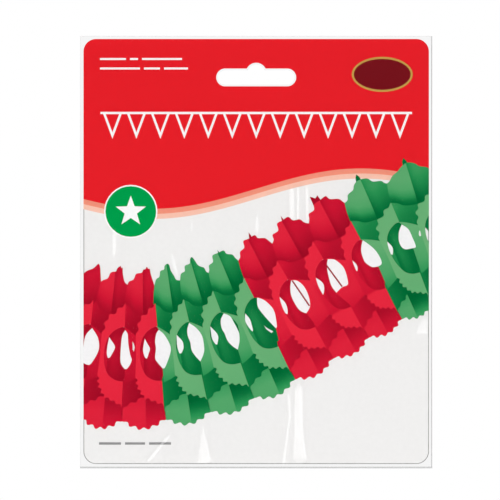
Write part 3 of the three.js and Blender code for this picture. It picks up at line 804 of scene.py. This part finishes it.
def add_window_fields():
    """Plain white behind the pictured garland's windows."""
    plates = []
    for ring in LARGE_WINDOWS:
        right, left = window_sides(ring)
        for loop in (right + left[-2:0:-1], small_window(ring)):
            middle = np.mean(loop, axis=0)
            grown = middle + (np.array(loop) - middle) * WINDOW_FIELD_GROWTH
            shape = (WINDOW_FIELD_LEVEL, [[tuple(p) for p in grown]], [], even_tone(0))
            points, faces, _ = ring_plate(ring, shape, left_share(ring))
            plates.append((points, faces))
    points, faces = joined(plates)
    look = ink_and_shade_material("window white", WINDOW_WHITE)
    cut_at_card(add_piece("window_fields", points, faces, [look]))


def add_pictured_garland():
    look = picture_material()
    for section in range(PICTURE_SECTIONS):
        tones = RED_TONES if section % 2 == 0 else GREEN_TONES
        plates = []
        levels = []
        first = (section - 1) * RINGS_PER_COLOUR
        for ring in range(first, first + RINGS_PER_COLOUR):
            after = ring + 1
            made = [ring_plate(ring, shape) for shape in right_shapes(ring)]
            made += [ring_plate(after, shape, left_share(after)) for shape in left_shapes(after)]
            for points, faces, plate_tones in made:
                plates.append((points, faces))
                levels += plate_tones
        points, faces = joined(plates)
        name = f"garland_picture_{section + 1}"
        piece = add_piece(name, points, faces, [look], [f"garland_print_{section + 1}"])
        layer = piece.data.color_attributes.new("ink", "FLOAT_COLOR", "POINT")
        layer.data.foreach_set("color", [share for level in levels for share in tone_colour(tones, level)])
        cut_at_card(piece)


# Dashes, and the painted shade along the card's edge

# Rows of dashes in pixels: first and last column, row and the dashes' lengths
HEADER_DASHES = ((100, 182, 59, (26, 8, 44)), (100, 188, 68.5, (40, 16, 30)))
FOOT_DASHES = ((99, 171, 443.5, (22, 20, 26)),)
DASH_GAP = 4
HEADER_DASH_HEIGHT = 2
FOOT_DASH_HEIGHT = 2.4
DASH_INK = 0.03
# Width and thickness of the painted shade along the card's edge
EDGE_SHADE_WIDTH = 0.35
EDGE_SHADE_THICKNESS = 0.04


def add_print_and_shade(name, shapes, front, back, colour):
    """Flat shapes of print and of painted shade, each an outline and its holes, as thin plates."""
    points, faces = joined([prism(loops, front, back) for loops in shapes])
    add_piece(name, points, faces, [ink_and_shade_material(name.replace("_", " "), colour)])


def dashes(rows, height):
    """Rows of short dashes, each dash an outline on the card."""
    shapes = []
    for first, last, row, lengths in rows:
        column = first
        for length in lengths:
            end = min(column + length, last)
            left, top = at_pixel(column, row - height / 2)
            right, foot = at_pixel(end, row + height / 2)
            shapes.append([[(left, foot), (right, foot), (right, top), (left, top)]])
            column = end + DASH_GAP
    return shapes


def add_dashes():
    """Short dashes, white in the header and grey at the foot."""
    upper = dashes(HEADER_DASHES, HEADER_DASH_HEIGHT)
    add_print_and_shade("header_dashes", upper, INK_FRONT - DASH_INK, INK_FRONT, WHITE_INK)
    lower = dashes(FOOT_DASHES, FOOT_DASH_HEIGHT)
    add_print_and_shade("foot_dashes", lower, INK_FRONT, CARD_FRONT, DASH_GREY)


def add_painted_edge_shade():
    """Painted shade: a thin grey line along the card's cut edge, on its white part."""
    edge = [card_outline(0), card_outline(EDGE_SHADE_WIDTH)]
    add_print_and_shade("card_edge_painted_shade", [edge], CARD_FRONT - EDGE_SHADE_THICKNESS, CARD_FRONT, EDGE_SHADE_GREY)


# Folded garland: the most that a layer turns, in degrees, and is shifted, in mm

LAYERS = 36
LAYER_SEED = 7
LAYER_TURN = 0.35
LAYER_SHIFT = 0.45
LAYER_DROP = 0.35
LAYER_SIZES = (0.985, 0.995)
LAYER_FILL = 0.92
WAVE_GRID = 1.1
WAVE_EDGE_GAP = 0.6
WAVE_DEPTH = 0.85


def last_sheet(loops, front, back):
    """The sheet that is seen from behind: its back is softly waved, never past the stack's back."""
    edge = np.array(loops[0])
    low, high = edge.min(axis=0), edge.max(axis=0)
    columns, rows = (np.arange(low[i], high[i], WAVE_GRID) for i in (0, 1))
    inner = fill_points(loops, columns, rows, WAVE_EDGE_GAP)
    points, faces = prism(loops, front, back, inner)
    points = np.array(points)
    behind = points[:, 1] > (front + back) / 2
    x, z = points[behind, 0], points[behind, 2]
    waves = np.sin(x / 1.5 + 2.4 * np.sin(z / 9)) * np.cos(z / 3.3 + 1.7 * np.sin(x / 8))
    waves += 0.6 * np.sin(x / 1.1 - z / 1.6 + 2 * np.sin(z / 11) + 1.5 * np.sin(x / 13))
    points[behind, 1] -= WAVE_DEPTH * (back - front) * (0.5 + waves / 3.2)
    return points, faces


def add_folded_garland():
    """A stack of thin colour sections, each shifted and turned a little, behind the card."""
    rng = random.Random(LAYER_SEED)
    loops = sheet_loops()
    front, back = GARLAND_LOW[1], GARLAND_HIGH[1]
    thickness = (back - front) / LAYERS
    middle_z = GARLAND_LOW[2] + SHEET_BOTTOM
    parts = []
    colours = []
    # The last sheet fills two layers, to have room for its waves
    for layer in [*range(LAYERS - 2), LAYERS - 1]:
        turn = math.radians(rng.uniform(-LAYER_TURN, LAYER_TURN))
        aside = rng.uniform(-LAYER_SHIFT, LAYER_SHIFT)
        middle = rng.uniform(-LAYER_DROP, LAYER_SHIFT) + middle_z
        size = rng.uniform(*LAYER_SIZES)
        moved = []
        for loop in loops:
            across, up = np.array(loop).T * size
            x = across * math.cos(turn) - up * math.sin(turn) + aside
            z = across * math.sin(turn) + up * math.cos(turn) + middle
            moved.append(list(zip(x, z)))
        start = front + layer * thickness
        end = start + LAYER_FILL * thickness
        last = layer == LAYERS - 1
        parts.append(last_sheet(moved, start - thickness, end) if last else prism(moved, start, end))
        colours += [layer % 2] * len(parts[-1][1])
    points, faces = joined(parts)
    looks = [tissue_material("green tissue", GREEN_TISSUE), tissue_material("red tissue", RED_TISSUE)]
    piece = add_piece("tissue_stack", points, faces, looks, ["folded_garland"])
    piece.data.polygons.foreach_set("material_index", colours)
    piece.data.polygons.foreach_set("use_smooth", [abs(p.normal.y) > 0.5 for p in piece.data.polygons])


# Film bag

FILM_WALL = 0.2
FILM_LEFT, FILM_RIGHT = FILM_LOW[0], FILM_HIGH[0]
FILM_FOOT, FILM_TOP = FILM_LOW[2], FILM_HIGH[2]
FILM_FRONT = FILM_LOW[1] + FILM_WALL / 2
FILM_FLAT_BACK = CARD_BACK + 0.4
# Widths of the film's rim at its right side and foot, which carries painted shadow
FILM_SIDE_RIM = 0.55
FILM_FOOT_RIM = 0.8
FILM_GRID = 2
FILM_EDGE_LINES = (FILM_SIDE_RIM, FILM_FOOT_RIM, 0.96, 1.1, 1.3, 1.6, 2.2)
FILM_GRID_GAP = 0.5
FILM_EDGE_GAP = 0.2
JUST_INSIDE = 0.9999
TOLERANCE = 0.01
FLAT, SHADOW_RIM, PULLED, CREASED = range(4)

# Creases of the front film, each tilted to mirror the left lamp: row, left and right column, in pixels
FRONT_CREASES = (
    ((228, 114, 114), (233, 112.4, 116.4), (252, 112.8, 115.8), (257, 114, 114)),
    ((215, 191.6, 191.6), (219, 190.8, 192.4), (229, 190.6, 192.6), (233, 191.4, 191.4)),
    ((213, 257, 257), (228, 255, 259.2), (233, 257, 257)),
    ((186, 291.6, 291.6), (190, 289.6, 293.6), (215, 289.8, 294), (220, 291.8, 291.8)),
    ((186, 298, 298), (190, 297, 299.2), (215, 296.8, 299), (220, 298, 298)),
    ((185, 306.8, 306.8), (189, 305.6, 308), (217, 305.8, 308.6), (223, 307.4, 307.4)),
    ((252, 171, 171), (256, 170.4, 173.4), (272, 174.8, 177.6), (278, 177.8, 177.8)),
    ((431, 172.6, 172.6), (436, 166.6, 170.6), (458, 149, 153.4), (464, 146, 146)),
    ((427, 203.2, 203.2), (446, 200.2, 208), (462, 197.2, 211.6), (465, 204, 204)),
    ((391, 288, 288), (396, 287.4, 289.4), (416, 289, 291), (461, 282.6, 285), (465, 283, 283)),
    ((383, 298.6, 298.6), (388, 295, 302.4), (430, 294.4, 303), (462, 293, 307), (465, 300, 300)),
    ((313, 427, 427), (317, 423.4, 427.4), (326, 418, 427), (334, 416.5, 427), (338, 425, 425)),
)
CREASE_RETURN = 0.5
CREASE_STEP = 0.6
CREASE_LEAST_WIDTH = 0.15
CREASE_GAP = 0.4

# Pulled folds of the back film, from the garland's edge outwards: two ends in mm, half width and height
BACK_FOLDS = (
    ((-8, -52), (-24, -19), 2.4, 0.5),
    ((6, -51), (14, -18), 2.2, 0.45),
    ((-30, -74), (-72, -22), 2.6, 0.6),
    ((-45, -88), (-79, -52), 2.4, 0.5),
    ((31, -75), (75, -26), 2.6, 0.6),
    ((24, -68), (50, -20), 2.2, 0.45),
    ((54, -112), (80, -100), 2.4, 0.5),
    ((-55, -130), (-80, -142), 2.4, 0.5),
    ((-44, -160), (-77, -187), 2.6, 0.6),
    ((38, -168), (76, -189), 2.6, 0.6),
    ((50, -152), (80, -166), 2.2, 0.45),
)
FOLD_START = 8
FOLD_END = 12


def ease(value, start, end):
    """0 before start, 1 after end, smooth between."""
    share = np.clip((value - start) / (end - start), 0, 1)
    return share * share * (3 - 2 * share)


def bag_levels(points, side):
    """Where the bag's front (side -1) or back (side 1) is in the CAD, at half of its wall.

    Points on the slot's edge may miss it; there the bag is flat.
    """
    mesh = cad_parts["film_bag"].data
    tree = BVHTree.FromPolygons([v.co for v in mesh.vertices], [p.vertices for p in mesh.polygons])
    middle = (FILM_LOW + FILM_HIGH) / 2
    flat = FILM_FRONT if side < 0 else FILM_FLAT_BACK
    levels = []
    for point in points:
        x, z = middle[[0, 2]] + (point - middle[[0, 2]]) * JUST_INSIDE
        hit = tree.ray_cast(Vector((x * MM, side, z * MM)), Vector((0, -side, 0)))
        levels.append(flat if hit[0] is None else hit[0].y / MM - side * FILM_WALL / 2)
    return np.array(levels)


def crease_columns(crease, z):
    """A crease's left and right edges at heights on the card, in mm; equal beyond its ends."""
    rows = [at_pixel(0, row)[1] for row, _, _ in crease][::-1]
    lefts = [at_pixel(left, 0)[0] for _, left, _ in crease][::-1]
    rights = [at_pixel(right, 0)[0] for _, _, right in crease][::-1]
    return np.interp(z, rows, lefts), np.interp(z, rows, rights)


def in_creases(points):
    """Which of the points lie on the mirroring side of a crease."""
    x, z = points.T
    found = np.zeros(len(points), bool)
    for crease in FRONT_CREASES:
        left, right = crease_columns(crease, z)
        found |= (x > left) & (x < right)
    return found


def crease_points():
    """Points along the edges of the creases, so that the film's mesh follows them."""
    points = []
    for crease in FRONT_CREASES:
        high, low = at_pixel(0, crease[0][0])[1], at_pixel(0, crease[-1][0])[1]
        for z in np.arange(low, high, CREASE_STEP):
            left, right = crease_columns(crease, z)
            if right - left > CREASE_LEAST_WIDTH:
                points += [(float(x), float(z)) for x in (left, right, right + CREASE_RETURN)]
    return points


def front_film(points):
    """The level of the front film: the bag's front with its creases."""
    x, z = points.T
    level = bag_levels(points, -1)
    lamp_x, lamp_y, _ = LEFT_LAMP
    for crease in FRONT_CREASES:
        left, right = crease_columns(crease, z)
        middle = float(np.mean([at_pixel(column, 0)[0] for row in crease for column in row[1:]]))
        to_lamp = math.atan2(middle - lamp_x / MM, -lamp_y / MM)
        to_camera = math.atan2(middle - at_pixel(PHOTO_PIXELS / 2, 0)[0], CAMERA_DISTANCE)
        slope = math.tan((to_lamp + to_camera) / 2)
        rise = slope * np.clip(x - left, 0, right - left)
        level -= rise * np.clip(1 - (x - right) / CREASE_RETURN, 0, 1)
    return level


def back_film(points):
    """The level of the back film: the bag's back with its pulled folds."""
    level = bag_levels(points, 1)
    for start, end, half_width, height in BACK_FOLDS:
        start, end = np.array(start), np.array(end)
        length = np.linalg.norm(end - start)
        way = (end - start) / length
        along = (points - start) @ way
        across = (points - start) @ np.array([-way[1], way[0]])
        rise = ease(along, 0, FOLD_START) * (1 - ease(along, length - FOLD_END, length))
        level += height * rise * np.exp(-((across / half_width) ** 2) / 2)
    return level


def film_lines():
    """Grid columns and rows across the film: close together at its edges."""
    within = max(FILM_EDGE_LINES) + FILM_GRID_GAP
    lines = []
    for start, end in ((FILM_LEFT, FILM_RIGHT), (FILM_FOOT, FILM_TOP)):
        even = list(np.arange(start + within, end - within, FILM_GRID))
        close = [start + d for d in FILM_EDGE_LINES] + [end - d for d in FILM_EDGE_LINES]
        lines.append(sorted(even + close))
    return lines


def add_film():
    columns, rows = film_lines()
    edge = [(x, FILM_FOOT) for x in [FILM_LEFT, *columns]] + [(FILM_RIGHT, z) for z in [FILM_FOOT, *rows]]
    edge += [(x, FILM_TOP) for x in [FILM_RIGHT, *columns[::-1]]]
    edge += [(FILM_LEFT, z) for z in [FILM_TOP, *rows[::-1]]]
    loops = [edge, slot_outline(FILM_SLOT_INSET)]
    creases = np.array(crease_points())
    grid = fill_points(loops, columns, rows, FILM_EDGE_GAP)
    grid = [p for p in grid if np.min(np.hypot(*(creases - p).T)) > CREASE_GAP]
    flat, faces = flat_fill(loops, grid + [tuple(p) for p in creases])
    count = len(flat)
    walls = sorted((b, a, a + count, b + count) for a, b in open_sides(faces))
    front = np.column_stack([flat[:, 0], front_film(flat), flat[:, 1]])
    back = np.column_stack([flat[:, 0], back_film(flat), flat[:, 1]])
    backs = [tuple(i + count for i in reversed(face)) for face in faces]
    looks = [
        film_material("flat film", FLAT_FILM_INDEX),
        film_shadow_rim_material(),
        film_material("pulled film", PULLED_FILM_INDEX),
        film_material("creased film", CREASED_FILM_INDEX),
    ]
    points = np.vstack([front, back])
    bag = add_piece(
        "clear_bag", points, faces + backs + walls, looks, ["film_bag"], smooth=True
    )
    # Painted shadow: the rim at the film's right side and foot gets the grey material
    shadowed_side = FILM_RIGHT - flat[:, 0] < FILM_SIDE_RIM + TOLERANCE
    shadowed_foot = flat[:, 1] - FILM_FOOT < FILM_FOOT_RIM + TOLERANCE
    centres = np.array([flat[list(face)].mean(axis=0) for face in faces])
    for polygon, creased in zip(bag.data.polygons, in_creases(centres)):
        polygon.use_smooth = not creased
        polygon.material_index = CREASED if creased else FLAT
    for polygon in bag.data.polygons[len(faces):2 * len(faces)]:
        polygon.material_index = PULLED
    for polygon in bag.data.polygons:
        corners = [i % count for i in polygon.vertices]
        if shadowed_side[corners].all() or shadowed_foot[corners].all():
            polygon.material_index = SHADOW_RIM


# Light, background and camera

CAMERA_DISTANCE = 2400
LEFT_LAMP = (-0.49, -1.4, -0.07)
SOFT_LIGHT = 0.39
FLOOR_BELOW = 500
FLOOR_HALF = 3000


def add_world():
    """Soft even light; the camera, and what the film mirrors or lets through, gets plain white."""
    world = bpy.data.worlds.new("studio")
    bpy.context.scene.world = world
    world.use_nodes = True
    tree = world.node_tree
    tree.nodes.clear()
    out = add_node(tree, "ShaderNodeOutputWorld")
    path = add_node(tree, "ShaderNodeLightPath")
    soft = add_node(tree, "ShaderNodeBackground", Color=(1, 1, 1, 1), Strength=SOFT_LIGHT)
    white = add_node(tree, "ShaderNodeBackground", Color=(1, 1, 1, 1), Strength=1)
    seen = path.outputs["Is Camera Ray"]
    for kind in ("Is Glossy Ray", "Is Transmission Ray"):
        either = add_node(tree, "ShaderNodeMath")
        either.operation = "MAXIMUM"
        tree.links.new(seen, either.inputs[0])
        tree.links.new(path.outputs[kind], either.inputs[1])
        seen = either.outputs["Value"]
    mix = add_node(tree, "ShaderNodeMixShader")
    tree.links.new(seen, mix.inputs["Fac"])
    tree.links.new(soft.outputs["Background"], mix.inputs[1])
    tree.links.new(white.outputs["Background"], mix.inputs[2])
    tree.links.new(mix.outputs["Shader"], out.inputs["Surface"])


def add_lamp(name, place, size, power):
    """A soft lamp that faces the middle of the pack; its place and size are in metres."""
    lamp = bpy.data.lights.new(name, "AREA")
    lamp.shape = "RECTANGLE"
    lamp.size, lamp.size_y = size
    lamp.energy = power
    holder = add_object(name, lamp)
    holder.location = place
    middle = Vector((0, 0, (CARD_TOP + CARD_FOOT) / 2 * MM))
    holder.rotation_euler = (middle - Vector(place)).to_track_quat("-Z", "Y").to_euler()


def add_floor():
    made, _, shader = new_material("pale floor")
    settle(shader, Base_Color=(0.9, 0.9, 0.9, 1), Roughness=0.9)
    mesh = bpy.data.meshes.new("floor")
    level = CARD_FOOT - FLOOR_BELOW
    corners = [(-1, -1), (1, -1), (1, 1), (-1, 1)]
    reach = FLOOR_HALF * MM
    mesh.from_pydata([(x * reach, y * reach, level * MM) for x, y in corners], [], [(0, 1, 2, 3)])
    mesh.materials.append(made)
    add_object("floor", mesh)


def add_camera():
    data = bpy.data.cameras.new("camera")
    data.sensor_width = 36
    data.lens = data.sensor_width * CAMERA_DISTANCE / (PHOTO_PIXELS * MM_PER_PIXEL)
    data.clip_end = 100
    camera = add_object("camera", data)
    x, z = at_pixel(PHOTO_PIXELS / 2, PHOTO_PIXELS / 2)
    camera.location = (x * MM, (CARD_FRONT - CAMERA_DISTANCE) * MM, z * MM)
    camera.rotation_euler = (math.pi / 2, 0, 0)
    bpy.context.scene.camera = camera


bpy.context.scene.view_settings.view_transform = "Standard"
add_camera()
add_world()
add_floor()
add_lamp("left lamp", LEFT_LAMP, size=(0.2, 0.7), power=5.95)
add_lamp("right lamp", (0.49, -1.4, -0.09), size=(0.22, 0.22), power=4.75)
add_lamp("back lamp", (1, 1, -0.15), size=(0.28, 0.28), power=11)
add_lamp("floor lamp", (0, 0.5, 3), size=(3, 3), power=90)

dress("printed_card", card_material())
for node, name, colour in INKS:
    dress(node, ink_and_shade_material(name, colour))
add_pictured_garland()
add_window_fields()
add_dashes()
add_painted_edge_shade()
add_folded_garland()
add_film()
